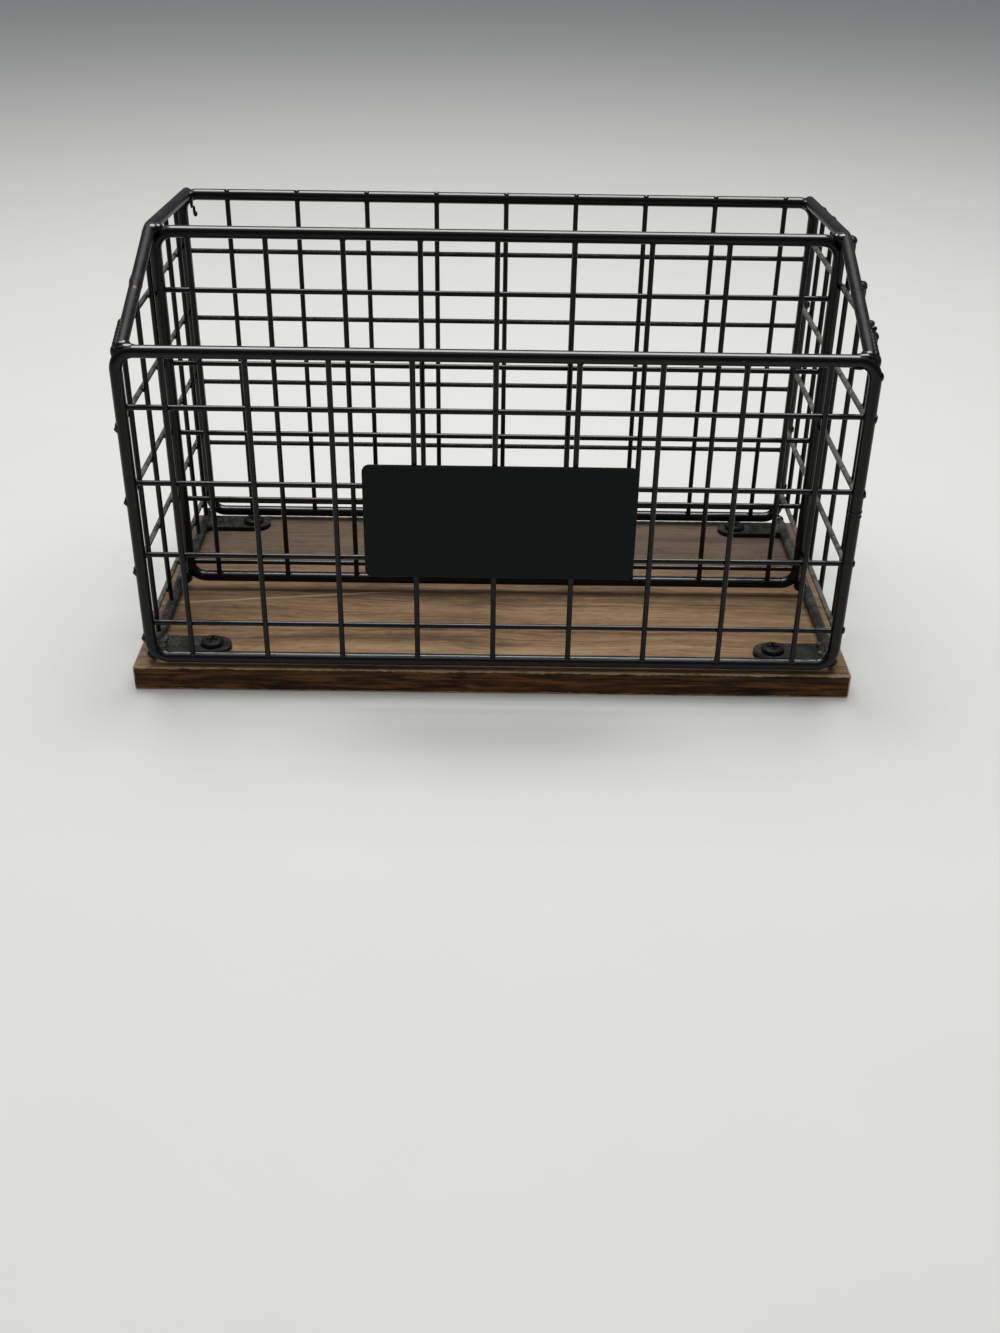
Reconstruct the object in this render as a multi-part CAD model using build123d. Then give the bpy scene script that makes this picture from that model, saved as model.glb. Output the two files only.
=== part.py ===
from build123d import *
from math import floor, sqrt
import os

# Letter rack: a welded wire basket with a divider, screwed to a stained wooden board.
# Sizes are in millimetres. X runs along the rack, Y from front to back and Z up.
# The origin is the middle of the board's underside.

# Board
board_width = 275.0
board_depth = 136.0
board_thickness = 10.0
board_edge_round = 0.6

# Wire: heavy wire makes the frames and rails, thin wire makes the grids
frame_wire = 4.5
mesh_wire = 2.0
bend_radius = 6.6
weld_gap = 0.1

# Frames: setbacks run from the board's edges to the middle of the wire
side_setback = 7.75
front_setback = 2.4
back_setback = 2.6
divider_setback = 64.4
front_top_height = 123.75
divider_top_height = 148.0
back_top_height = 145.1
divider_lift = 5.9

# Rails: a top rail runs nearly level from the back to its bend at the divider, then slopes down to the front.
# Its ends stand a little inside the legs and a little above the bars of the front and back frames.
top_rail_inset = 2.4
rail_front_rise = 0.65
rail_back_rise = 0.3
rail_kink_radius = 10.0
rail_front_setback = 1.5
rail_back_overhang = 0.6
bottom_rail_setback = 4.0
bottom_rail_slant = 1.9

# Grids in the three frames: uprights are spread evenly between the legs' end columns,
# cross wires start above the bottom bar and repeat at the pitch
upright_count = 9
end_column_room = 15.75
mesh_pitch = 28.5
front_first_row = 14.25
divider_first_row = 6.1
back_first_row = 4.25
back_grid_shift = 3.3
last_row_room = 5.0

# Side grids: uprights are set out from the frames, cross wires from the board's top
front_bay_uprights = (12.5, 37.8)
back_bay_uprights = (32.5, 13.5)
side_first_row = 12.0
right_grid_lift = 6.9
right_grid_inset = 0.8
side_row_pitch = 28.0
side_wire_overhang = 1.4
side_wire_sink = 1.3
side_upright_tail = 4.5
side_upright_drop = 1.2

# Tabs that hold the wirework to the board, and their pan-head screws
tab_length = 27.0
tab_width = 12.0
tab_thickness = 2.0
front_tab_setback = 12.5
back_tab_setback = 8.5
screw_inset = 7.5
screw_shank = 3.5
screw_length = 8.6
screw_tip = 1.4
screw_head = 8.8
screw_head_height = 2.0
screw_head_round = 1.3
recess_length = 4.6
recess_width = 1.0
recess_depth = 1.1
tab_hole_clearance = 0.3
pilot_clearance = 0.05
pilot_end_room = 0.4

# Name plaque on the front grid
plaque_width = 98.0
plaque_height = 44.0
plaque_thickness = 1.2
plaque_corner = 2.8
plaque_edge_break = 0.2
plaque_centre_height = 62.5
plaque_shift = 2.0

# Places worked out from the sizes above
board_top = board_thickness
front_y = -board_depth / 2 + front_setback
back_y = board_depth / 2 - back_setback
divider_y = -board_depth / 2 + divider_setback
frame_half = board_width / 2 - side_setback
side_cross_x = frame_half + (frame_wire + mesh_wire) / 2 - side_wire_sink
side_upright_x = side_cross_x - mesh_wire - weld_gap
divider_half = side_upright_x - (mesh_wire + frame_wire) / 2 - weld_gap

# A bottom rail lies against the rounded corners of the front and back frames, on their 45 degree line
corner_step = (bend_radius + frame_wire + weld_gap) / sqrt(2) - bend_radius
bottom_rail_x = frame_half + corner_step
bottom_rail_z = board_top + frame_wire / 2
bottom_bar_z = bottom_rail_z + corner_step

# A top rail's ends are let into the top bends of the front and back frames,
# and its own bend lies against the divider's rounded corner, on the 45 degree line
front_top_z = board_top + front_top_height
back_top_z = board_top + back_top_height
divider_bottom_z = board_top + divider_lift
divider_top_z = board_top + divider_top_height
rail_end_x = frame_half - top_rail_inset
rail_front_z = front_top_z + rail_front_rise
rail_back_z = back_top_z + rail_back_rise
rail_kink_x = divider_half + corner_step
rail_kink_z = divider_top_z + corner_step
front_rail_slope = (rail_kink_z - rail_front_z) / (divider_y - front_y)
back_rail_slope = (rail_kink_z - rail_back_z) / (back_y - divider_y)

# Rows of thin wire: uprights and cross wires lie side by side, touching at the middle plane
wire_step = (mesh_wire + weld_gap) / 2
sides = {"left": -1, "right": 1}

# The side grids are alike, not mirrored: on both sides the uprights stand to the right of the cross wires
side_upright_places = {-1: -side_upright_x, 1: side_cross_x - right_grid_inset}
side_cross_places = {-1: -side_cross_x, 1: side_upright_x - right_grid_inset}
side_first_rows = {-1: board_top + side_first_row, 1: board_top + side_first_row + right_grid_lift}
ends = {"front": front_y + front_tab_setback, "back": back_y - back_tab_setback}


def rod(start, end, diameter):
    """Straight round wire between two points."""
    run = Vector(*end) - Vector(*start)
    return Solid.make_cylinder(diameter / 2, run.length, Plane(origin=start, z_dir=run))


def longest(shape):
    """Largest solid that a cut leaves."""
    return shape.solids().sort_by(SortBy.VOLUME)[-1]


def frame_loop(half, bottom, top, y):
    """Closed loop of heavy wire with rounded corners, standing across the rack."""
    outline = RectangleRounded(2 * half, top - bottom, bend_radius).wire()
    path = Plane(origin=(0, y, (top + bottom) / 2), x_dir=(1, 0, 0), z_dir=(0, -1, 0)) * outline
    start = Plane(origin=path @ 0, z_dir=path % 0)
    return sweep(start * Circle(frame_wire / 2), path=path).solid()


def columns(shift):
    """X places of a grid's uprights, spread evenly and moved sideways together."""
    end = frame_half - end_column_room
    pitch = 2 * end / (upright_count - 1)
    return [shift - end + step * pitch for step in range(upright_count)]


def rows(first, top, pitch):
    """Heights of cross wires from the first one up to the room left under the top wire."""
    count = floor((top - last_row_room - first) / pitch) + 1
    return [first + step * pitch for step in range(count)]


def uprights(frame, y, bottom, top, shift):
    """Upright thin wires of one frame, butted on the inner sides of its two bars."""
    wires = []
    for x in columns(shift):
        wires.append(longest(rod((x, y, bottom), (x, y, top), mesh_wire) - frame))
    return wires


def cross_wires(frame, y, half, heights):
    """Level thin wires of one frame, butted on the inner sides of its two legs."""
    wires = []
    for z in heights:
        wires.append(longest(rod((-half, y, z), (half, y, z), mesh_wire) - frame))
    return wires


def top_rail(side):
    """Heavy wire along the frames' top corners, bent once at the divider and coped round all three frames."""
    front_rise = front_rail_slope * rail_front_setback
    front_end = (side * rail_end_x, front_y + rail_front_setback, rail_front_z + front_rise)
    kink = (side * rail_kink_x, divider_y, rail_kink_z)
    back_end = (side * rail_end_x, back_y + rail_back_overhang, rail_back_z)
    path = FilletPolyline(front_end, kink, back_end, radius=rail_kink_radius)
    start = Plane(origin=path @ 0, z_dir=path % 0)
    rail = sweep(start * Circle(frame_wire / 2), path=path).solid()
    return longest(rail - front_frame - divider_frame - back_frame)


def bottom_rail(side):
    """Heavy wire along the frames' bottom corners, lying on the board, with its ends cut on the slant."""
    x = side * bottom_rail_x
    rail = rod((x, -board_depth / 2, bottom_rail_z), (x, board_depth / 2, bottom_rail_z), frame_wire)
    front_cut = Plane(origin=(x, front_y + bottom_rail_setback, bottom_rail_z),
                      z_dir=(-side * bottom_rail_slant, 1, 0))
    back_cut = Plane(origin=(x, back_y - bottom_rail_setback, bottom_rail_z),
                     z_dir=(-side * bottom_rail_slant, -1, 0))
    return split(split(rail, bisect_by=front_cut), bisect_by=back_cut).solid()


def side_uprights(side, rail):
    """Upright thin wires of a side grid, from just below its lowest cross wire to the top rail's side."""
    places = [front_y + step for step in front_bay_uprights]
    places.append(divider_y)
    places.extend(back_y - step for step in back_bay_uprights)
    x = side_upright_places[side]
    foot = side_first_rows[side] - side_upright_tail
    wires = []
    for y in places:
        sloping = rail_front_z + front_rail_slope * (y - front_y)
        level = rail_back_z + back_rail_slope * (back_y - y)
        head = min(sloping, level) - side_upright_drop
        wires.append(longest(rod((x, y, foot), (x, y, head), mesh_wire) - rail))
    return wires


def side_cross_wires(side):
    """Level thin wires, let into the outside of the left legs, or butted between the right legs
    and let into the divider's."""
    back_end = back_y + side_wire_overhang
    first_upright = front_y + front_bay_uprights[0] + mesh_wire
    x = side_cross_places[side]
    wires = []
    for z in rows(side_first_rows[side], rail_back_z, side_row_pitch):
        under_rail = front_y + (z + (frame_wire + mesh_wire) / 2 - rail_front_z) / front_rail_slope
        front_end = front_y - side_wire_overhang
        if under_rail > front_end:
            front_end = max(under_rail, first_upright)
        wire = rod((x, front_end, z), (x, back_end, z), mesh_wire)
        wires.append(longest(wire - front_frame - divider_frame - back_frame))
    return wires


def screw_places():
    """Middle of each screw on the board's top."""
    x = bottom_rail_x - frame_wire / 2 - weld_gap - tab_length + screw_inset
    return [(side * x, y) for side in sides.values() for y in ends.values()]


def base_board():
    """Wooden board with softened edges and a blind pilot hole for each screw."""
    board = Box(board_width, board_depth, board_thickness, align=(Align.CENTER, Align.CENTER, Align.MIN))
    board = fillet(board.edges(), board_edge_round)
    depth = screw_length - tab_thickness + pilot_end_room
    radius = screw_shank / 2 + pilot_clearance
    for x, y in screw_places():
        board -= Pos(x, y, board_top - depth) * Cylinder(
            radius, depth, align=(Align.CENTER, Align.CENTER, Align.MIN))
    return board


def tab(side, y):
    """Flat steel tab beside a bottom rail, with a round inner end and a screw hole."""
    outer = bottom_rail_x - frame_wire / 2 - weld_gap
    inner = outer - tab_length
    straight = tab_length - tab_width / 2
    outline = Pos(outer - straight / 2, 0) * Rectangle(straight, tab_width)
    outline += Pos(inner + tab_width / 2, 0) * Circle(tab_width / 2)
    outline -= Pos(inner + screw_inset, 0) * Circle(screw_shank / 2 + tab_hole_clearance)
    plate = Pos(0, y, board_top) * extrude(outline, tab_thickness)
    return plate if side > 0 else mirror(plate, about=Plane.YZ)


def screw(x, y):
    """Pan-head screw with a cross recess, its head resting on the tab."""
    head_z = board_top + tab_thickness
    radius = screw_shank / 2
    head = Cylinder(screw_head / 2, screw_head_height, align=(Align.CENTER, Align.CENTER, Align.MIN))
    head = fillet(head.edges().sort_by(Axis.Z)[-1], screw_head_round)
    for turn in (0, 90):
        slot = Box(recess_length, recess_width, recess_depth, align=(Align.CENTER, Align.CENTER, Align.MAX))
        head -= Pos(0, 0, screw_head_height) * Rot(0, 0, turn) * slot
    shank = Pos(0, 0, screw_tip - screw_length) * Cylinder(
        radius, screw_length - screw_tip, align=(Align.CENTER, Align.CENTER, Align.MIN))
    point = Pos(0, 0, -screw_length) * Cone(
        radius / 4, radius, screw_tip, align=(Align.CENTER, Align.CENTER, Align.MIN))
    return Pos(x, y, head_z) * (head + shank + point)


def plaque():
    """Thin plate with rounded corners, held against the front uprights."""
    plate = extrude(RectangleRounded(plaque_width, plaque_height, plaque_corner), plaque_thickness)
    rims = plate.edges().filter_by_position(Axis.Z, plaque_thickness, plaque_thickness)
    plate = chamfer(rims, plaque_edge_break)
    back_face = front_y - wire_step - mesh_wire / 2 - weld_gap
    place = Plane(origin=(plaque_shift, back_face, board_top + plaque_centre_height),
                  x_dir=(1, 0, 0), z_dir=(0, -1, 0))
    return place * plate


def numbered(name, pieces):
    """Node names with a count for a row of like pieces."""
    return {f"{name}_{count}": piece for count, piece in enumerate(pieces, start=1)}


front_frame = frame_loop(frame_half, bottom_bar_z, front_top_z, front_y)
divider_frame = frame_loop(divider_half, divider_bottom_z, divider_top_z, divider_y)
back_frame = frame_loop(frame_half, bottom_bar_z, back_top_z, back_y)

front_rows = rows(bottom_bar_z + front_first_row, front_top_z, mesh_pitch)
divider_rows = rows(divider_bottom_z + divider_first_row, divider_top_z, mesh_pitch)
back_rows = rows(bottom_bar_z + back_first_row, back_top_z, mesh_pitch)

nodes = {
    "base_board": base_board(),
    "front_frame": front_frame,
    "divider_frame": divider_frame,
    "back_frame": back_frame,
    "plaque": plaque(),
    "tab_screws": Compound(children=[screw(x, y) for x, y in screw_places()]),
    "divider_uprights": Compound(children=uprights(
        divider_frame, divider_y - wire_step, divider_bottom_z, divider_top_z, 0)),
    "back_uprights": Compound(children=uprights(
        back_frame, back_y - wire_step, bottom_bar_z, back_top_z, back_grid_shift)),
}
nodes |= numbered("front_upright", uprights(front_frame, front_y - wire_step, bottom_bar_z, front_top_z, 0))
nodes |= numbered("front_cross_wire", cross_wires(front_frame, front_y + wire_step, frame_half, front_rows))
nodes |= numbered("divider_cross_wire", cross_wires(
    divider_frame, divider_y + wire_step, divider_half, divider_rows))
nodes |= numbered("back_cross_wire", cross_wires(back_frame, back_y + wire_step, frame_half, back_rows))

for name, side in sides.items():
    rail = top_rail(side)
    nodes[f"{name}_top_rail"] = rail
    nodes[f"{name}_bottom_rail"] = bottom_rail(side)
    nodes |= numbered(f"{name}_upright", side_uprights(side, rail))
    nodes |= numbered(f"{name}_cross_wire", side_cross_wires(side))
    for end, y in ends.items():
        nodes[f"{end}_{name}_tab"] = tab(side, y)

os.makedirs("parts", exist_ok=True)
for name, shape in nodes.items():
    export_step(shape, f"parts/{name}.step")
print(len(nodes), "nodes written")
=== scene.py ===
# %% [markdown]
# # A wire letter rack on a stained board
# The rack is an open basket of welded black wire with a divider in the middle. Four steel
# tabs screw it to a wooden board. The CAD model already has every wire, tab and screw at its
# real size, so this lesson adds what a camera sees: the finishes, the welds and the wear.
# The first step loads that model as a fixed frame.

# %% Load the imported rack
import math

import bpy
import numpy as np
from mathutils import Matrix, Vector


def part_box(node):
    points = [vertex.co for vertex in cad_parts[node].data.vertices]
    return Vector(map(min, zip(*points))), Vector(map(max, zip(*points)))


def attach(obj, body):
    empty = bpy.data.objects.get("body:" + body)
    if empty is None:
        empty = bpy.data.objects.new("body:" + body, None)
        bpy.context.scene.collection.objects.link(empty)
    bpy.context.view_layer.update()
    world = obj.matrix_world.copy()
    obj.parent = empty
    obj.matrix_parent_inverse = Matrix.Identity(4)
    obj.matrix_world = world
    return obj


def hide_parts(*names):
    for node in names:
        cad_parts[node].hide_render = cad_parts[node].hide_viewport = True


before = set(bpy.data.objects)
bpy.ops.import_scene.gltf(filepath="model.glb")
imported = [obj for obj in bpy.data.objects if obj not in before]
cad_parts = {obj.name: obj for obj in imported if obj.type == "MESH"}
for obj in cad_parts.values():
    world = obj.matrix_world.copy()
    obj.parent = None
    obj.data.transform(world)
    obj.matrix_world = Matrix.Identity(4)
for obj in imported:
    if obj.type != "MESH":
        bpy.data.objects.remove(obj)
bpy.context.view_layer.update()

MM = 0.001

# %% [markdown]
# ## The camera
# A camera could be placed by eye, but then every wire lands a little off. Here its place, its
# turn and its focal length come from a fit of the rack's wires to where the photograph shows
# them. Blender's lens is in millimetres on a 36 mm sensor, which spans the longer image side.

# %% Camera
IMAGE_HEIGHT = 1333
FOCAL_PIXELS = 1450.8
SENSOR_MM = 36.0
CAMERA_PLACE_MM = (0.2, -541.1, 298.4)
CAMERA_TURN_DEGREES = (58.829, -0.761, 0.136)

camera_data = bpy.data.cameras.new("photo_camera")
camera_data.sensor_width = SENSOR_MM
camera_data.lens = FOCAL_PIXELS * SENSOR_MM / IMAGE_HEIGHT
camera = bpy.data.objects.new("photo_camera", camera_data)
camera.location = [step * MM for step in CAMERA_PLACE_MM]
camera.rotation_euler = [math.radians(turn) for turn in CAMERA_TURN_DEGREES]
bpy.context.scene.collection.objects.link(camera)
bpy.context.scene.camera = camera
bpy.context.scene.view_settings.view_transform = "Standard"
print("lens in mm:", round(camera_data.lens, 2))

# %% [markdown]
# ## Nodes for finishes
# Every finish below is a small tree of shader nodes. Writing each node by hand is long, so
# these helpers add a node, set its options, and set or link its inputs in one call.

# %% Node helpers
def feed(tree, made, inputs):
    """Sets or links the inputs of a node by socket name or number."""
    for socket, value in inputs.items():
        if isinstance(value, bpy.types.NodeSocket):
            tree.links.new(value, made.inputs[socket])
        else:
            made.inputs[socket].default_value = value


def node(tree, kind, inputs, **options):
    """One new shader node with its options set and its inputs set or linked."""
    made = tree.nodes.new("ShaderNode" + kind)
    for option, value in options.items():
        setattr(made, option, value)
    feed(tree, made, inputs)
    return made


def maths(tree, operation, first, second=0.0, third=0.0, clamp=False):
    """The result of one arithmetic node."""
    made = node(tree, "Math", {0: first, 1: second, 2: third}, operation=operation, use_clamp=clamp)
    return made.outputs["Value"]


def span(tree, value, low, high):
    """0 below low, 1 above high and a smooth step between them."""
    inputs = {"Value": value, "From Min": low, "From Max": high}
    return node(tree, "MapRange", inputs, interpolation_type="SMOOTHSTEP").outputs["Result"]


def between(tree, share, first, second, blend="MIX"):
    """One colour mixed into another by a share from 0 to 1."""
    inputs = {0: share, 6: first, 7: second}
    return node(tree, "Mix", inputs, data_type="RGBA", blend_type=blend).outputs[2]


def grain(tree, places, steps, detail=3.0, roughness=0.55):
    """Noise whose lumps measure steps millimetres along X, Y and Z."""
    scale = [1.0 / (step * MM) for step in steps]
    mapped = node(tree, "Mapping", {"Vector": places, "Scale": scale})
    inputs = {"Vector": mapped.outputs["Vector"], "Scale": 1.0, "Detail": detail, "Roughness": roughness}
    return node(tree, "TexNoise", inputs).outputs["Fac"]


def ramp(tree, value, stops):
    """Colours along a ramp; stops are pairs of place and colour."""
    made = node(tree, "ValToRGB", {"Fac": value})
    marks = made.color_ramp.elements
    while len(marks) < len(stops):
        marks.new(0.5)
    for mark, (place, colour) in zip(marks, stops):
        mark.position = place
        mark.color = (*colour, 1.0)
    return made.outputs["Color"]


def bump(tree, height, depth_mm, below=None):
    """A normal bent by a height map of that depth, on top of another normal."""
    inputs = {"Height": height, "Strength": 1.0, "Distance": depth_mm * MM}
    if below is not None:
        inputs["Normal"] = below
    return node(tree, "Bump", inputs).outputs["Normal"]


def finish(name):
    """A new material with its tree, its Principled shader and the surface's own coordinates."""
    material = bpy.data.materials.new(name)
    material.use_nodes = True
    tree = material.node_tree
    shader = tree.nodes["Principled BSDF"]
    coords = node(tree, "TexCoord", {})
    return material, tree, shader, coords


# %% [markdown]
# ## Light, floor and background
# The photograph was taken in a bright room: long lamps above and a little behind draw a thin
# white line along every bar, and shadows are faint. Two strip lamps, a weaker softbox and a
# pale world do the same. They are set so that a pale floor renders about as it is written.

# %% Floor, world and lamps
FLOOR_HALF = 4.0
FLOOR_COLOUR = (0.865, 0.868, 0.838, 1.0)
FLOOR_MOTTLE = (0.835, 0.838, 0.812, 1.0)
FLOOR_MOTTLE_SIZE = (40, 40, 40)
WORLD_COLOUR = (0.80, 0.84, 0.90, 1.0)
WORLD_STRENGTH = 0.21

# Each lamp: name, place, target and size in metres, power in watts, colour
LAMPS = (
    ("ceiling_strip", (0.0, 0.08, 1.25), (0, 0, 0.08), (1.0, 0.45), 7.6, (1.0, 0.985, 0.96)),
    ("rear_strip", (0.0, 0.52, 1.25), (0, 0, 0.08), (1.1, 0.36), 5.6, (1.0, 0.985, 0.97)),
    ("ceiling_softbox", (-0.15, -0.15, 1.50), (0, 0, 0.05), (2.0, 1.4), 3.2, (1.0, 0.985, 0.965)))


def make_floor():
    """A square plane under the board, with a faint mottle so that it isn't a flat colour."""
    corners = [(-FLOOR_HALF, -FLOOR_HALF, 0), (FLOOR_HALF, -FLOOR_HALF, 0),
               (FLOOR_HALF, FLOOR_HALF, 0), (-FLOOR_HALF, FLOOR_HALF, 0)]
    mesh = bpy.data.meshes.new("floor")
    mesh.from_pydata(corners, [], [(0, 1, 2, 3)])
    floor = bpy.data.objects.new("floor", mesh)
    bpy.context.scene.collection.objects.link(floor)
    material, tree, shader, coords = finish("pale_table")
    mottle = grain(tree, coords.outputs["Object"], FLOOR_MOTTLE_SIZE)
    colour = between(tree, mottle, FLOOR_COLOUR, FLOOR_MOTTLE)
    feed(tree, shader, {"Base Color": colour, "Roughness": 0.6, "Specular IOR Level": 0.25})
    mesh.materials.append(material)
    return floor


def area_lamp(name, place, target, size, watts, colour):
    """A rectangular lamp at place that faces target."""
    lamp = bpy.data.lights.new(name, "AREA")
    lamp.shape = "RECTANGLE"
    lamp.size, lamp.size_y = size
    lamp.energy = watts
    lamp.color = colour
    holder = bpy.data.objects.new(name, lamp)
    bpy.context.scene.collection.objects.link(holder)
    sight = np.array(target) - np.array(place)
    flat = math.hypot(sight[0], sight[1])
    holder.location = place
    holder.rotation_euler = (math.atan2(flat, -sight[2]), 0.0, math.atan2(-sight[0], sight[1]))
    return holder


make_floor()
for lamp in LAMPS:
    area_lamp(*lamp)

world = bpy.data.worlds.new("pale_room")
world.use_nodes = True
background = world.node_tree.nodes["Background"]
background.inputs["Color"].default_value = WORLD_COLOUR
background.inputs["Strength"].default_value = WORLD_STRENGTH
bpy.context.scene.world = world
print("lamps:", [light.name for light in bpy.data.lights])

# %% [markdown]
# ## Black enamel
# All the wire is dipped in black enamel. It is nearly black, and it lies in long, shallow
# waves, so a lamp is drawn as a slightly wavering line. Hands and letters polish the sides
# that face up, so a clear coat is laid there and nowhere else. A pale film lies on the same
# sides, most of all on the side wires and the bottom rails. On the bottom rails, tabs and
# frames it is dust. On the side wires, the back cross wires and the top rails it is dust and
# a painted sheen, a pale grey that stands in for their reflection of the bright ceiling.
# One function makes each enamel.

# %% Enamel finishes
# Colour of the pale film: dust, and on the side wires, back cross wires and top rails also a painted sheen
DUST_AND_SHEEN_COLOUR = (0.19, 0.186, 0.168, 1.0)
SCRAPE_COLOUR = (0.30, 0.15, 0.075, 1.0)
SCRAPE_PLACE_MM = (-126.9, -38.3, 147.6)
SCRAPE_RADIUS_MM = 1.0
SCRAPE_FADE = 1.4

# Sizes of the lumps of noise in millimetres
RAGGED_SIZE = (1.2, 1.2, 1.2)
PATCH_SIZE = (6, 6, 6)
SPECK_SIZE = (0.9, 0.9, 0.9)
WEAR_SIZE = (5, 5, 5)
WAVE_SIZE = (16, 16, 16)

# How far a face looks up, from -1 to 1, where the film of dust and painted sheen or polish starts and where
# it is full
DUST_AND_SHEEN_FACING = (-0.2, 0.9)
POLISH_FACING = (0.45, 0.85)

# Noise values where a patch or a speck of the film of dust and painted sheen starts and where it is full
PATCH_RANGE = (0.38, 0.64)
SPECK_RANGE = (0.44, 0.66)


def scraped(tree, places):
    """1 inside a ragged spot where the enamel is scraped off, and 0 outside it."""
    spot = [step * MM for step in SCRAPE_PLACE_MM]
    away = node(tree, "VectorMath", {0: places, 1: spot}, operation="DISTANCE").outputs["Value"]
    radius = SCRAPE_RADIUS_MM * MM
    ragged = maths(tree, "MULTIPLY_ADD", grain(tree, places, RAGGED_SIZE), radius, away)
    return maths(tree, "SUBTRACT", 1.0, span(tree, ragged, radius, SCRAPE_FADE * radius))


def enamel(name, colour, gloss, dust_and_sheen, wave_mm, specular, polish=0.0):
    """Black paint: gloss is its roughness, wave_mm its waviness; a pale film and polish lie on faces that
    look up.

    Film = facing up x (0.2 + 0.8 patches) x (0.3 + 0.8 specks) x dust_and_sheen, and it dulls the paint under
    it.
    It is dust; where dust_and_sheen is large it is also a painted sheen of the bright ceiling.
    """
    material, tree, shader, coords = finish(name)
    places = coords.outputs["Object"]
    up = node(tree, "SeparateXYZ", {"Vector": coords.outputs["Normal"]}).outputs["Z"]
    faces_up = span(tree, up, *DUST_AND_SHEEN_FACING)
    patches = span(tree, grain(tree, places, PATCH_SIZE, 5.0, 0.65), *PATCH_RANGE)
    specks = span(tree, grain(tree, places, SPECK_SIZE), *SPECK_RANGE)
    film = maths(tree, "MULTIPLY", faces_up, maths(tree, "MULTIPLY_ADD", patches, 0.8, 0.2))
    film = maths(tree, "MULTIPLY", film, maths(tree, "MULTIPLY_ADD", specks, 0.8, 0.3))
    film = maths(tree, "MULTIPLY", film, dust_and_sheen, clamp=True)
    wear = grain(tree, places, WEAR_SIZE)
    shine = maths(tree, "MULTIPLY_ADD", wear, 0.10, gloss - 0.05)
    shine = maths(tree, "MULTIPLY_ADD", film, 0.5, shine, clamp=True)
    paint = between(tree, scraped(tree, places), colour, SCRAPE_COLOUR)
    waves = bump(tree, grain(tree, places, WAVE_SIZE, 1.0), wave_mm)
    feed(tree, shader, {
        "Base Color": between(tree, film, paint, DUST_AND_SHEEN_COLOUR), "Roughness": shine, "Normal": waves,
        "Specular IOR Level": specular})
    if polish:
        rubbed_up = maths(tree, "MULTIPLY", span(tree, up, *POLISH_FACING), polish)
        feed(tree, shader, {
            "Coat Weight": rubbed_up, "Coat Normal": waves, "Coat Roughness": 0.12, "Coat IOR": 1.7})
    return material


# Each enamel: name, colour, gloss, dust and painted sheen, waviness in millimetres, specular level and, where
# rubbed, polish
frame_enamel = enamel("frame_enamel", (0.0012, 0.0014, 0.0017, 1.0), 0.20, 0.02, 0.06, 0.25, 1.0)
# Top rails: the bluish base and the pale film are partly a painted sheen of the bright ceiling
rail_enamel = enamel("rail_enamel", (0.0056, 0.0064, 0.0076, 1.0), 0.40, 0.16, 0.05, 0.24)
grid_enamel = enamel("grid_enamel", (0.0014, 0.0015, 0.0017, 1.0), 0.24, 0.06, 0.03, 0.24, 0.7)
# Side wires and back cross wires: their heavy pale film is dust and a painted sheen of the bright ceiling
side_enamel = enamel("side_enamel", (0.0070, 0.0070, 0.0064, 1.0), 0.36, 2.80, 0.03, 0.24)
back_enamel = enamel("back_enamel", (0.0040, 0.0040, 0.0038, 1.0), 0.32, 0.60, 0.03, 0.24)
dusty_enamel = enamel("dusty_enamel", (0.012, 0.012, 0.012, 1.0), 0.46, 0.90, 0.08, 0.25)
tab_enamel = enamel("tab_enamel", (0.0050, 0.0052, 0.0052, 1.0), 0.50, 0.42, 0.08, 0.22)
screw_black = enamel("screw_black", (0.0030, 0.0030, 0.0030, 1.0), 0.44, 0.12, 0.01, 0.26)
plaque_paint = enamel("plaque_paint", (0.0016, 0.0042, 0.0048, 1.0), 0.58, 0.03, 0.01, 0.17)


def enamel_for(name):
    """Which enamel a CAD node wears, by the kind of piece it is."""
    if name.endswith("_tab"):
        return tab_enamel
    if name.endswith("_bottom_rail"):
        return dusty_enamel
    if name == "tab_screws":
        return screw_black
    if name == "plaque":
        return plaque_paint
    if name.endswith("_top_rail"):
        return rail_enamel
    if name.endswith("_frame"):
        return frame_enamel
    if name.startswith(("left_cross", "right_cross")):
        return side_enamel
    if name.startswith("back_cross"):
        return back_enamel
    return grid_enamel


for name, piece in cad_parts.items():
    piece.data.materials.clear()
    piece.data.materials.append(enamel_for(name))
print("enamelled nodes:", len(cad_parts))

# %% [markdown]
# ## Meshes from rings
# Welds, drips and the board all have the same build: rings of points, one after the other,
# each joined to the next, with both ends drawn together on a pole. Modelling them by hand
# in edit mode would work for one of them. Here numpy lays out whole stacks of rings at once.

# %% Ring meshes
def skin(rings, first_poles, last_poles):
    """Points and faces of closed shells.

    rings[shell, ring, side] holds points in millimetres. The sides of a ring run counter-clockwise
    about the direction in which the rings follow each other, so the faces look outwards.
    """
    shells, count, sides = rings.shape[:3]
    stacks = [rings.reshape(shells, -1, 3), first_poles[:, None], last_poles[:, None]]
    points = np.concatenate(stacks, axis=1)
    ring, side = np.meshgrid(np.arange(count - 1), np.arange(sides), indexing="ij")
    here = ring * sides + side
    beside = ring * sides + (side + 1) % sides
    walls = np.stack([here, beside, beside + sides, here + sides], -1).reshape(-1, 4)
    turn = np.arange(sides)
    after = (turn + 1) % sides
    top = (count - 1) * sides
    first = np.stack([np.full(sides, count * sides), after, turn], -1)
    last = np.stack([np.full(sides, count * sides + 1), top + turn, top + after], -1)
    caps = np.concatenate([first, last])
    step = np.arange(shells)[:, None, None] * points.shape[1]
    faces = (walls + step).reshape(-1, 4).tolist() + (caps + step).reshape(-1, 3).tolist()
    return points.reshape(-1, 3), faces


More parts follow.
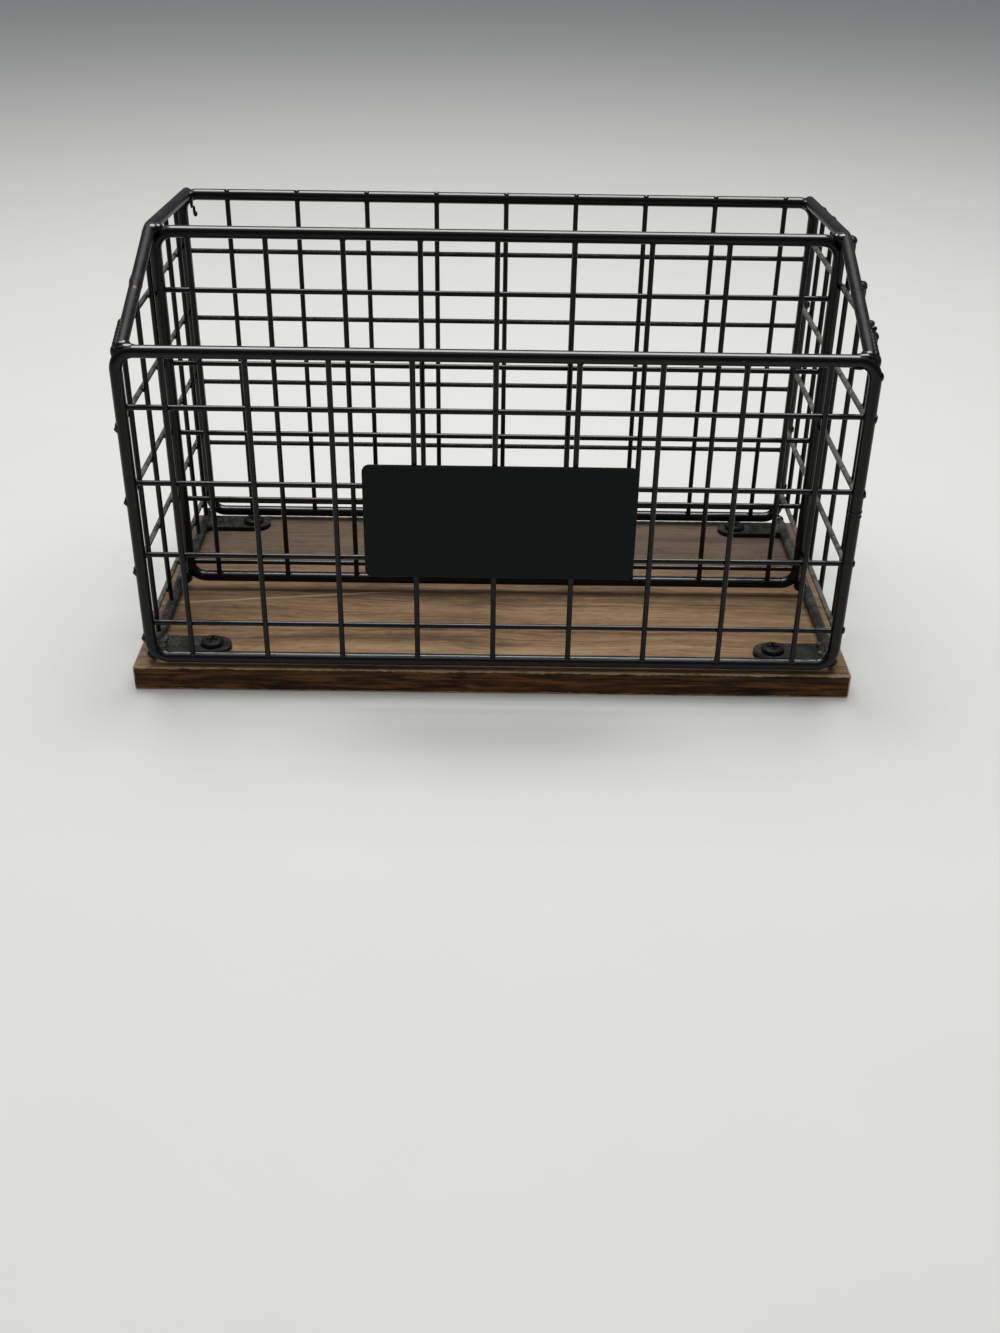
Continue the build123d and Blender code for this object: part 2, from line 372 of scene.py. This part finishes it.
def join(shapes):
    """Several lists of points and faces as one, with the later faces' numbers moved up."""
    points, faces = [], []
    for more_points, more_faces in shapes:
        start = sum(len(part) for part in points)
        points.append(more_points)
        faces.extend([[start + corner for corner in face] for face in more_faces])
    return np.concatenate(points), faces


def add_piece(name, shape, material):
    """A smooth piece at the origin that rides on the rack and wears the given finish."""
    points, faces = shape
    mesh = bpy.data.meshes.new(name)
    mesh.from_pydata((points * MM).tolist(), [], faces)
    mesh.shade_smooth()
    mesh.materials.append(material)
    piece = bpy.data.objects.new(name, mesh)
    bpy.context.scene.collection.objects.link(piece)
    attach(piece, "root")
    print(name, "faces:", len(faces))
    return piece


def beads(centres, radii, seed, rings=4, sides=8, lump=0.13):
    """Lumpy weld beads: point = centre + radii x direction x swell.

    The directions are those of a ball. The swell is 1 plus a few sine waves of that size, with seeded phases.
    """
    centres = np.asarray(centres, float)
    radii = np.broadcast_to(np.asarray(radii, float), centres.shape)
    rise = np.linspace(-math.pi / 2, math.pi / 2, rings + 2)[1:-1, None]
    turn = np.linspace(0, 2 * math.pi, sides, endpoint=False)[None, :]
    reach = np.stack([np.cos(rise) * np.cos(turn), np.cos(rise) * np.sin(turn), np.sin(rise) + 0 * turn], -1)
    draw = np.random.default_rng(seed)
    phases = draw.uniform(0, 2 * math.pi, (len(centres), 3))[:, :, None, None]
    swell = np.sin(2 * turn + phases[:, 0]) + np.sin(3 * turn + 2 * rise + phases[:, 1])
    swell = 1 + lump / 2 * (swell + np.sin(3 * rise + phases[:, 2]))
    shells = centres[:, None, None] + radii[:, None, None] * reach * swell[..., None]
    pole = np.array([0, 0, 1])
    return skin(shells, centres - radii * pole, centres + radii * pole)


def middle(name):
    """Middle of a CAD node's box in millimetres."""
    low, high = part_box(name)
    return (np.array(low) + np.array(high)) / 2 / MM


# %% [markdown]
# ## The board
# The board is a plank of stained hardwood. A cube with a Bevel modifier would do from far
# away, but here the long edges are worn and chipped. So the outline of the plank's end is
# carried along its length: a rectangle with round corners, which shrinks along a quarter
# circle at both ends, and whose corners are worn back by a sum of waves.

# %% Board shape
BOARD_ROUND = 0.9
EDGE_WEAR = 0.34
STATION_STEP = 1.2
FLAT_POINTS = 22
ROUND_POINTS = 6
END_ANGLES = (22, 45, 66, 82)
WEAR_WAVES = (61.0, 23.0, 9.5, 4.1)
WEAR_LEVEL = 0.25
BOARD_SEED = 11


def plank_outline(half_depth, half_thickness):
    """Inner points and outward directions round the plank's end, counter-clockwise from its back face."""
    reach_y = half_depth - BOARD_ROUND
    reach_z = half_thickness - BOARD_ROUND
    corners = np.array([(reach_y, reach_z), (-reach_y, reach_z), (-reach_y, -reach_z), (reach_y, -reach_z)])
    inner, outward = [], []
    for number in range(4):
        angles = (number + np.linspace(0, 1, ROUND_POINTS)) * math.pi / 2
        inner.append(np.repeat(corners[number:number + 1], ROUND_POINTS, axis=0))
        outward.append(np.stack([np.cos(angles), np.sin(angles)], -1))
        share = np.linspace(0, 1, FLAT_POINTS)[1:-1, None]
        inner.append(corners[number] * (1 - share) + corners[(number + 1) % 4] * share)
        outward.append(np.repeat(outward[-1][-1:], FLAT_POINTS - 2, axis=0))
    return np.concatenate(inner), np.concatenate(outward)


def plank(low, high, seed):
    """Plank between two corners: point = inner outline + (round radius - wear) x outward.

    The wear is largest on the diagonal of each corner, where a mean of sine waves rises above its level.
    """
    half = (high - low) / 2
    centre = (high + low) / 2
    inner, outward = plank_outline(half[1], half[2])
    straight = half[0] - BOARD_ROUND
    tip = BOARD_ROUND * np.sin(np.radians(END_ANGLES))
    run = np.arange(-straight, straight, STATION_STEP)
    stations = np.concatenate([-straight - tip[::-1], run, straight + np.concatenate([[0], tip])])
    past = np.clip(np.abs(stations) - straight, 0, None)
    radius = np.sqrt(BOARD_ROUND**2 - past**2)[:, None]
    draw = np.random.default_rng(seed)
    wave_lengths = np.array(WEAR_WAVES)
    phases = draw.uniform(0, 2 * math.pi, (4, len(WEAR_WAVES)))
    corner = np.floor(np.arctan2(outward[:, 1], outward[:, 0]) / (math.pi / 2)).astype(int) % 4
    waves = np.sin(2 * math.pi * stations[:, None, None] / wave_lengths + phases[corner]).mean(-1)
    diagonal = np.abs(2 * outward[:, 0] * outward[:, 1])
    radius = radius - EDGE_WEAR * diagonal * np.clip(waves + WEAR_LEVEL, 0, None)
    rings = np.empty((1, len(stations), len(inner), 3))
    rings[0, :, :, 0] = stations[:, None]
    rings[0, :, :, 1:] = inner + radius[..., None] * outward
    ends = np.array([[-half[0], 0, 0], [half[0], 0, 0]])
    return skin(rings + centre, ends[:1] + centre, ends[1:] + centre)


board_low, board_high = [np.array(corner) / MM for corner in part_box("base_board")]
print("board in mm:", np.round(board_high - board_low, 1))

# %% [markdown]
# ## Walnut stain
# The plank's grain runs along its length. Noise that is stretched far along X gives the
# bands, finer stretched noise gives the fibres and the open pores, and a ramp turns them
# into browns. The sides drink more stain and are darker. Where two faces meet, the stain
# is rubbed off and pale wood shows, so the distance to the nearest edge drives the wear.

# %% Walnut finish
WALNUT_STOPS = [(0.36, (0.115, 0.066, 0.037)), (0.46, (0.225, 0.137, 0.074)),
                (0.55, (0.320, 0.205, 0.112)), (0.66, (0.425, 0.287, 0.162))]
TONE_STRETCH = 1.55
PORE_COLOUR = (0.075, 0.042, 0.024, 1.0)
PALE_WOOD = (0.50, 0.36, 0.21, 1.0)
# Painted shade: a darker grey brown laid over the wood behind the divider
BACK_SHADE_COLOUR = (0.105, 0.093, 0.080, 1.0)
SIDE_STAIN = (0.52, 0.325, 0.115, 1.0)
DARK_STAIN = (0.07, 0.040, 0.018, 1.0)
PALE_LINE_START = (-126.0, -16.0)
PALE_LINE_END = (-28.0, -3.0)
PALE_LINE_FADE = -60.0
PALE_LINE_WIDTH = (0.15, 0.9)
BACK_SHADE_START = -6.0
BACK_SHADE_END = 40.0
TOP_FACING = (0.3, 0.8)
PORE_RANGE = (0.60, 0.70)
STREAK_RANGE = (0.38, 0.64)

# Worn borders: how far noise moves one, where it is full and where it ends, in millimetres from the edge
FADED_BORDER = (9.0, 4.5, 9.0)
WORN_BORDER = (2.4, 1.70, 1.95)

# How strongly each layer covers the wood, from 0 to 1
PORE_SHARE = 0.5
PALE_LINE_SHARE = 0.8
BACK_SHADE_SHARE = 0.62
FADED_SHARE = 0.08
WORN_SHARE = 0.75

# Lengths of the lumps of noise along X, Y and Z in millimetres
BAND_SIZE = (240, 7, 7)
FIBRE_SIZE = (34, 0.8, 0.8)
FLECK_SIZE = (6, 1.3, 1.3)
BLOTCH_SIZE = (46, 18, 18)
PORE_SIZE = (5.5, 0.42, 0.42)
STREAK_SIZE = (30, 1.6, 1.6)
BORDER_SIZE = (9, 9, 9)
SWAY_SIZE = (90, 30, 30)
SWAY = 14.0


def edge_distance(tree, x, y, z):
    """Distance to the nearest edge: the middle one of the distances to the three nearest faces."""
    half = (board_high - board_low) / 2 * MM
    to_x = maths(tree, "SUBTRACT", half[0], maths(tree, "ABSOLUTE", x))
    to_y = maths(tree, "SUBTRACT", half[1], maths(tree, "ABSOLUTE", y))
    from_middle = maths(tree, "ABSOLUTE", maths(tree, "SUBTRACT", z, half[2]))
    to_z = maths(tree, "SUBTRACT", half[2], from_middle)
    larger = maths(tree, "MAXIMUM", to_x, to_y)
    smaller = maths(tree, "MINIMUM", to_x, to_y)
    return maths(tree, "MAXIMUM", smaller, maths(tree, "MINIMUM", larger, to_z))


def pale_line(tree, x, y):
    """1 on a thin pale streak that climbs across the top, and 0 beside it."""
    slope = (PALE_LINE_END[1] - PALE_LINE_START[1]) / (PALE_LINE_END[0] - PALE_LINE_START[0])
    along = maths(tree, "MULTIPLY_ADD", x, slope, (PALE_LINE_START[1] - slope * PALE_LINE_START[0]) * MM)
    off = maths(tree, "ABSOLUTE", maths(tree, "SUBTRACT", y, along))
    near = maths(tree, "SUBTRACT", 1.0, span(tree, off, *(width * MM for width in PALE_LINE_WIDTH)))
    fade = maths(tree, "SUBTRACT", 1.0, span(tree, x, PALE_LINE_FADE * MM, PALE_LINE_END[0] * MM))
    return maths(tree, "MULTIPLY", near, fade)


def wood_tone(tree, places, bent):
    """Light and dark of the wood, stretched about 0.5, and its fibres.

    Tone = 0.34 bands + 0.30 fibres + 0.14 flecks + 0.22 blotches.
    """
    bands = maths(tree, "MULTIPLY", grain(tree, bent, BAND_SIZE), 0.34)
    fibres = grain(tree, bent, FIBRE_SIZE, 4.0, 0.65)
    tone = maths(tree, "MULTIPLY_ADD", fibres, 0.30, bands)
    tone = maths(tree, "MULTIPLY_ADD", grain(tree, bent, FLECK_SIZE, 3.0, 0.6), 0.14, tone)
    tone = maths(tree, "MULTIPLY_ADD", grain(tree, places, BLOTCH_SIZE, 4.0, 0.6), 0.22, tone)
    return maths(tree, "MULTIPLY_ADD", tone, TONE_STRETCH, 0.5 - 0.5 * TONE_STRETCH), fibres


def rubbed(tree, places, edge, wander_mm, low_mm, high_mm):
    """1 close to an edge and 0 far from it, with a border that noise pushes about."""
    border = maths(tree, "MULTIPLY_ADD", grain(tree, places, BORDER_SIZE, 4.0, 0.7), wander_mm * MM, edge)
    return maths(tree, "SUBTRACT", 1.0, span(tree, border, low_mm * MM, high_mm * MM))


def walnut():
    """Stained walnut: stretched noise for the grain, painted shade and grey sheen at the back, darker sides,
    pale worn edges.
    """
    material, tree, shader, coords = finish("walnut")
    places = coords.outputs["Object"]
    parts = node(tree, "SeparateXYZ", {"Vector": places})
    x, y, z = (parts.outputs[axis] for axis in "XYZ")
    sway = maths(tree, "MULTIPLY_ADD", grain(tree, places, SWAY_SIZE, 2.0), SWAY * MM, y)
    bent = node(tree, "CombineXYZ", {"X": x, "Y": sway, "Z": z}).outputs["Vector"]
    tone, fibres = wood_tone(tree, places, bent)
    pores = span(tree, grain(tree, bent, PORE_SIZE, 2.0), *PORE_RANGE)
    colour = ramp(tree, tone, WALNUT_STOPS)
    colour = between(tree, maths(tree, "MULTIPLY", pores, PORE_SHARE), colour, PORE_COLOUR)
    streak = maths(tree, "MULTIPLY", pale_line(tree, x, y), PALE_LINE_SHARE)
    colour = between(tree, streak, colour, PALE_WOOD)
    # Painted shade and sheen: the wood is darkened and greyed towards the back, standing in for the wires'
    # shadow and a grazing grey reflection
    far = maths(tree, "MULTIPLY", span(tree, y, BACK_SHADE_START * MM, BACK_SHADE_END * MM), BACK_SHADE_SHARE)
    colour = between(tree, far, colour, BACK_SHADE_COLOUR)
    facing = node(tree, "SeparateXYZ", {"Vector": coords.outputs["Normal"]}).outputs["Z"]
    top = span(tree, maths(tree, "ABSOLUTE", facing), *TOP_FACING)
    edge = edge_distance(tree, x, y, z)
    faded = maths(tree, "MULTIPLY", rubbed(tree, places, edge, *FADED_BORDER), FADED_SHARE)
    colour = between(tree, faded, colour, PALE_WOOD)
    streaks = span(tree, grain(tree, bent, STREAK_SIZE, 4.0, 0.6), *STREAK_RANGE)
    stain = between(tree, streaks, DARK_STAIN, SIDE_STAIN)
    colour = between(tree, maths(tree, "SUBTRACT", 1.0, top), colour, stain, "MULTIPLY")
    worn = maths(tree, "MULTIPLY", rubbed(tree, places, edge, *WORN_BORDER), WORN_SHARE)
    colour = between(tree, worn, colour, PALE_WOOD)
    shine = maths(tree, "MULTIPLY_ADD", fibres, 0.24, 0.40)
    relief = bump(tree, fibres, 0.10)
    relief = bump(tree, maths(tree, "SUBTRACT", 1.0, pores), 0.08, relief)
    feed(tree, shader, {
        "Base Color": colour, "Roughness": shine, "Normal": relief, "Specular IOR Level": 0.18})
    return material


board = add_piece("walnut_board", plank(board_low, board_high, BOARD_SEED), walnut())
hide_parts("base_board")

# %% [markdown]
# ## Welds in the grids
# Where two thin wires cross, the welder presses them together, and the paint fills the
# corners between them. A small lumpy bead at each crossing shows that. There are hundreds
# of them, so each one has only a few dozen faces. The crossings come from the wires' own
# boxes: the columns from the uprights and the rows from the cross wires.

# %% Grid welds
CROSSING_BEAD = (1.25, 1.5, 1.25)
END_BEAD = (1.15, 1.15, 0.75)
SIDE_BEAD = (1.25, 1.05, 1.05)
LEG_BEAD = (1.4, 1.9, 2.1)
LEG_BEAD_SINK = 0.7
HEAD_BEAD = (1.1, 1.4, 1.5)
HEAD_REACH = 0.8
HEAD_SINK = 0.6
CORNER_ROOM = 8.0
BAR_SINK = 4.4
COLUMN_COUNT = 9
POST_COUNT = 5
WIRE_HALF = 1.0
GRID_SEED = 100
SIDE_SEED = 200


def column_places(grid):
    """X of each upright of a grid, from its own nodes or spread across its group's box."""
    if f"{grid}_uprights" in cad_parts:
        low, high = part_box(f"{grid}_uprights")
        return np.linspace(low[0] / MM + WIRE_HALF, high[0] / MM - WIRE_HALF, COLUMN_COUNT)
    return np.array([middle(f"{grid}_upright_{number}")[0] for number in range(1, COLUMN_COUNT + 1)])


def row_places(grid):
    """Middle of each cross wire of a grid, in millimetres."""
    names = sorted(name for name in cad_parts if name.startswith(f"{grid}_cross_wire"))
    return np.array([middle(name) for name in names])


def grid_welds(grid, seed):
    """Beads at every crossing of one grid and at both ends of each of its wires."""
    columns = column_places(grid)
    rows = row_places(grid)
    loop = np.array(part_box(f"{grid}_frame")) / MM
    inward = np.array([BAR_SINK, -BAR_SINK])
    bars = loop[:, 2] + inward
    legs = loop[:, 0] + inward
    plane = loop[:, 1].mean()
    x, z = np.meshgrid(columns, rows[:, 2])
    crossings = np.stack([x.ravel(), np.full(x.size, plane), z.ravel()], -1)
    x, z = np.meshgrid(columns, bars)
    upright_ends = np.stack([x.ravel(), np.full(x.size, plane - WIRE_HALF), z.ravel()], -1)
    x, z = np.meshgrid(legs, rows[:, 2])
    wire_ends = np.stack([x.ravel(), np.full(x.size, plane + WIRE_HALF), z.ravel()], -1)
    return join([
        beads(crossings, CROSSING_BEAD, seed), beads(upright_ends, END_BEAD, seed + 1),
        beads(wire_ends, END_BEAD[::-1], seed + 2)])


def side_welds(side, seed):
    """Beads at the crossings of a side grid, on the legs it is welded to and under its top rail."""
    rows = row_places(side)
    posts = np.array([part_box(f"{side}_upright_{number}") for number in range(1, POST_COUNT + 1)]) / MM
    x = (rows[:, 0].mean() + posts[:, :, 0].mean()) / 2
    y, z = np.meshgrid(posts[:, :, 1].mean(axis=1), rows[:, 2])
    crossings = np.stack([np.full(y.size, x), y.ravel(), z.ravel()], -1)
    legs = np.array([middle("front_frame")[1], middle("back_frame")[1]])
    y, z = np.meshgrid(legs, rows[:, 2])
    frame_rim = np.abs(np.array(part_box("front_frame"))[:, 0]).max() / MM
    rim = np.full(y.size, np.sign(x) * (frame_rim - LEG_BEAD_SINK))
    leg_beads = np.stack([rim, y.ravel(), z.ravel()], -1)
    front_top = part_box("front_frame")[1][2] / MM
    in_corner = (leg_beads[:, 1] < 0) & (leg_beads[:, 2] > front_top - CORNER_ROOM)
    leg_beads = leg_beads[~in_corner]
    heads = posts[:, 1] - np.array([0, WIRE_HALF, HEAD_SINK])
    rail_rim = np.abs(np.array(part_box(f"{side}_top_rail"))[:, 0]).max() / MM
    heads[:, 0] = np.sign(x) * min(np.abs(posts[:, :, 0]).mean(), rail_rim + HEAD_REACH)
    return join([
        beads(crossings, SIDE_BEAD, seed),
        beads(leg_beads, LEG_BEAD, seed + 1), beads(heads, HEAD_BEAD, seed + 2)])


for seed, grid in enumerate(("front", "divider", "back")):
    add_piece(f"{grid}_grid_welds", grid_welds(grid, GRID_SEED + 10 * seed), grid_enamel)
for seed, side in enumerate(("left", "right")):
    add_piece(f"{side}_grid_welds", side_welds(side, SIDE_SEED + 10 * seed), grid_enamel)

# %% [markdown]
# ## Welds on the heavy wire
# The rails are welded to the frames by hand, and those beads are large enough to see: a
# rounded lump on each top corner, a fillet where a rail passes the divider, and rough lumps
# where the tabs meet the bottom rails. They use the same lumpy ball with more faces. Each
# line below is one bead: its middle, then its three radii, in millimetres. On the right the
# uprights stand outside the rail, and a hump of paint rounds off each of their heads.

# %% Rail, frame and tab welds
BAR_HALF = 2.25
RAIL_SLOPE = 0.402
RAIL_SINK = 1.6
RAIL_BUMP = 31.7
BEND_INSET = 1.0
SEAM_START = 2.0
SEAM_END = 12.0
SEAM_BEADS = 7
SEAM_BEAD = (1.65, 2.5, 2.0)
SEAM_OUT = 1.45
HUMP = (2.0, 2.8, 1.9)
HUMP_OUT = 2.7
FINE = {"rings": 8, "sides": 14}

# Beads along a tab: share of its length, then inset, rise and reach in millimetres
TAB_BEADS = ((0.10, 0.0, 0.9, 1.7), (0.34, 0.6, 0.6, 1.5), (0.58, -0.2, 0.8, 1.8),
             (0.82, 0.4, 0.7, 1.5), (0.97, 0.1, 0.5, 1.2))
TAB_INSET = 0.2
TAB_SINK = 0.6


def rail_welds(side, turn):
    """Heavy beads along one side: turn is -1 on the left and 1 on the right."""
    front, divider, back = (middle(f"{name}_frame")[1] for name in ("front", "divider", "back"))
    tops = [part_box(f"{name}_frame")[1][2] / MM for name in ("front", "divider", "back")]
    near, far = np.sort(np.abs(np.array(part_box(f"{side}_top_rail"))[:, 0])) / MM
    end = turn * (near + BAR_HALF)
    bend = turn * (far - BAR_HALF - BEND_INSET)
    foot, _, low = middle(f"{side}_bottom_rail")
    shapes = [
        ((end - turn * 1.8, front + 0.7, tops[0] - 1.5), (4.6, 2.1, 1.9)),
        ((end - turn * 0.2, front + 1.8, tops[0] - 0.6), (2.5, 2.4, 1.9)),
        ((end - turn * 0.8, front + 3.4, tops[0] - 1.2), (2.2, 2.2, 1.9)),
        ((bend, divider - 0.6, tops[1] - 1.3), (3.0, 3.2, 2.3)),
        ((bend - turn * 1.6, divider + 0.4, tops[1] - 1.2), (2.6, 2.8, 1.9)),
        ((end, back + 0.2, tops[2] - 2.1), (2.5, 2.0, 2.2)),
        ((end - turn * 1.2, back - 1.8, tops[2] - 2.4), (2.4, 2.0, 1.9)),
        ((end, back + 0.9, tops[2] - 1.9), (2.0, 1.0, 2.0)),
        ((foot - turn * 0.9, front + 2.2, low + 1.4), (2.2, 2.2, 1.9)),
        ((foot - turn * 0.8, back - 1.8, low + 1.0), (2.4, 2.4, 2.1)),
        ((foot - turn * 2.6, divider + 0.2, low + 2.3), (2.8, 2.8, 2.4)),
        ((foot - turn * 3.6, divider, low + 4.2), (2.2, 2.6, 2.6))]
    centres, radii = zip(*shapes)
    return beads(centres, radii, seed=300 + 7 * turn, lump=0.05, **FINE)


def rail_bumps(side, turn):
    """Bumps where a sloping rail meets the side grid: a seam, a collar, a wire tip and upright heads."""
    axis = turn * (np.abs(np.array(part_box(f"{side}_top_rail"))[:, 0]).min() / MM + BAR_HALF)
    front = middle("front_frame")[1]
    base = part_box("front_frame")[1][2] / MM - RAIL_SINK
    along = np.linspace(SEAM_START, SEAM_END, SEAM_BEADS)
    outside = np.full(SEAM_BEADS, axis + turn * SEAM_OUT)
    seam = np.stack([outside, front + along, base + RAIL_SLOPE * along], -1)
    post = middle(f"{side}_upright_1")
    highest = f"{side}_cross_wire_5"
    tip_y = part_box(highest)[0][1] / MM
    tip_x, _, tip_z = middle(highest)
    bump_rise = base + RAIL_SLOPE * RAIL_BUMP
    shapes = [
        ((axis + turn * 1.9, front + 0.7, base - 1.3), (1.8, 2.0, 2.8)),
        ((axis + turn * 0.15, front + RAIL_BUMP, bump_rise), (2.55, 2.0, 2.4)),
        ((axis + turn * 1.0, front + RAIL_BUMP + 1.5, bump_rise + 0.6), (1.75, 2.4, 2.0)),
        (((post[0] + tip_x) / 2 + turn * 0.3, (post[1] + tip_y) / 2, tip_z), (1.4, 1.9, 1.25))]
    if abs(post[0]) > abs(axis) + BAR_HALF + WIRE_HALF:
        for number in range(1, POST_COUNT + 1):
            top = np.array(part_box(f"{side}_upright_{number}")[1]) / MM
            shapes.append(((axis + turn * HUMP_OUT, top[1] - WIRE_HALF, top[2]), HUMP))
    centres, radii = zip(*shapes)
    return join([
        beads(seam, SEAM_BEAD, seed=310 + 7 * turn, lump=0.03, **FINE),
        beads(centres, radii, seed=330 + 7 * turn, lump=0.03, **FINE)])


def tab_welds(side, turn):
    """Rough beads in the corner between each tab of one side and the bottom rail."""
    centres, radii = [], []
    for end in ("front", "back"):
        low, high = np.array(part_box(f"{end}_{side}_tab")) / MM
        rim = turn * (max(abs(low[0]), abs(high[0])) - TAB_INSET)
        for step, out, rise, reach in TAB_BEADS:
            along = low[1] + step * (high[1] - low[1])
            centres.append((rim - turn * out, along, high[2] + rise - TAB_SINK))
            radii.append((reach, 1.2 * reach, 0.8 * reach))
    return beads(centres, radii, seed=320 + 7 * turn, lump=0.22, **FINE)


for side, turn in (("left", -1), ("right", 1)):
    add_piece(f"{side}_rail_welds", rail_welds(side, turn), frame_enamel)
    add_piece(f"{side}_rail_bumps", rail_bumps(side, turn), rail_enamel)
    add_piece(f"{side}_tab_welds", tab_welds(side, turn), dusty_enamel)

# %% [markdown]
# ## Small marks of the welder's hand
# A wire loop is closed by one butt weld, which leaves a ring round the leg. Here and there
# the paint gathers in a drop, and the uprights of the back grid leave small bumps on its top
# bar. None of them is larger than a few millimetres, but they stop the rack looking printed.

# %% Ring, drips and bumps
RING_HEIGHT = 77.1
RING_STEP = 0.95
COLLAR = (2.62, 2.62, 0.95)
BACK_BUMP = (1.2, 1.1, 0.8)


def small_marks():
    """Two collars for the butt weld, drops of paint and the bumps on the back bar."""
    front_high = np.array(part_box("front_frame"))[1] / MM
    back_high = np.array(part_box("back_frame"))[1] / MM
    back_y = middle("back_frame")[1]
    leg = front_high[0] - BAR_HALF
    front_y = middle("front_frame")[1]
    collars = [(leg, front_y, RING_HEIGHT - RING_STEP), (leg, front_y, RING_HEIGHT + RING_STEP)]
    drops = [
        ((leg + 1.6, front_y - 0.9, front_high[2] - 7.4), (0.9, 1.2, 1.7)),
        ((leg - 6.4, front_y - 0.4, front_high[2] - 4.5), (2.4, 1.3, 0.6)),
        ((84.0, front_y - 2.0, front_high[2] - 2.6), (1.7, 0.45, 0.6)),
        ((-leg + 4.3, back_y - 1.4, back_high[2] - 5.2), (0.7, 0.7, 2.4)),
        ((-leg + 5.2, back_y - 1.5, back_high[2] - 8.2), (0.6, 0.6, 1.8)),
        ((-leg + 5.6, back_y - 1.5, back_high[2] - 9.7), (0.95, 0.95, 1.1))]
    bumps = np.stack(np.broadcast_arrays(column_places("back"), back_y - 0.9, back_high[2] - 0.5), -1)
    centres, radii = zip(*drops)
    return join([
        beads(collars, COLLAR, seed=340, rings=6, sides=20, lump=0.02),
        beads(centres, radii, seed=341, rings=6, sides=12, lump=0.08),
        beads(bumps, BACK_BUMP, seed=342)])


add_piece("small_marks", small_marks(), frame_enamel)
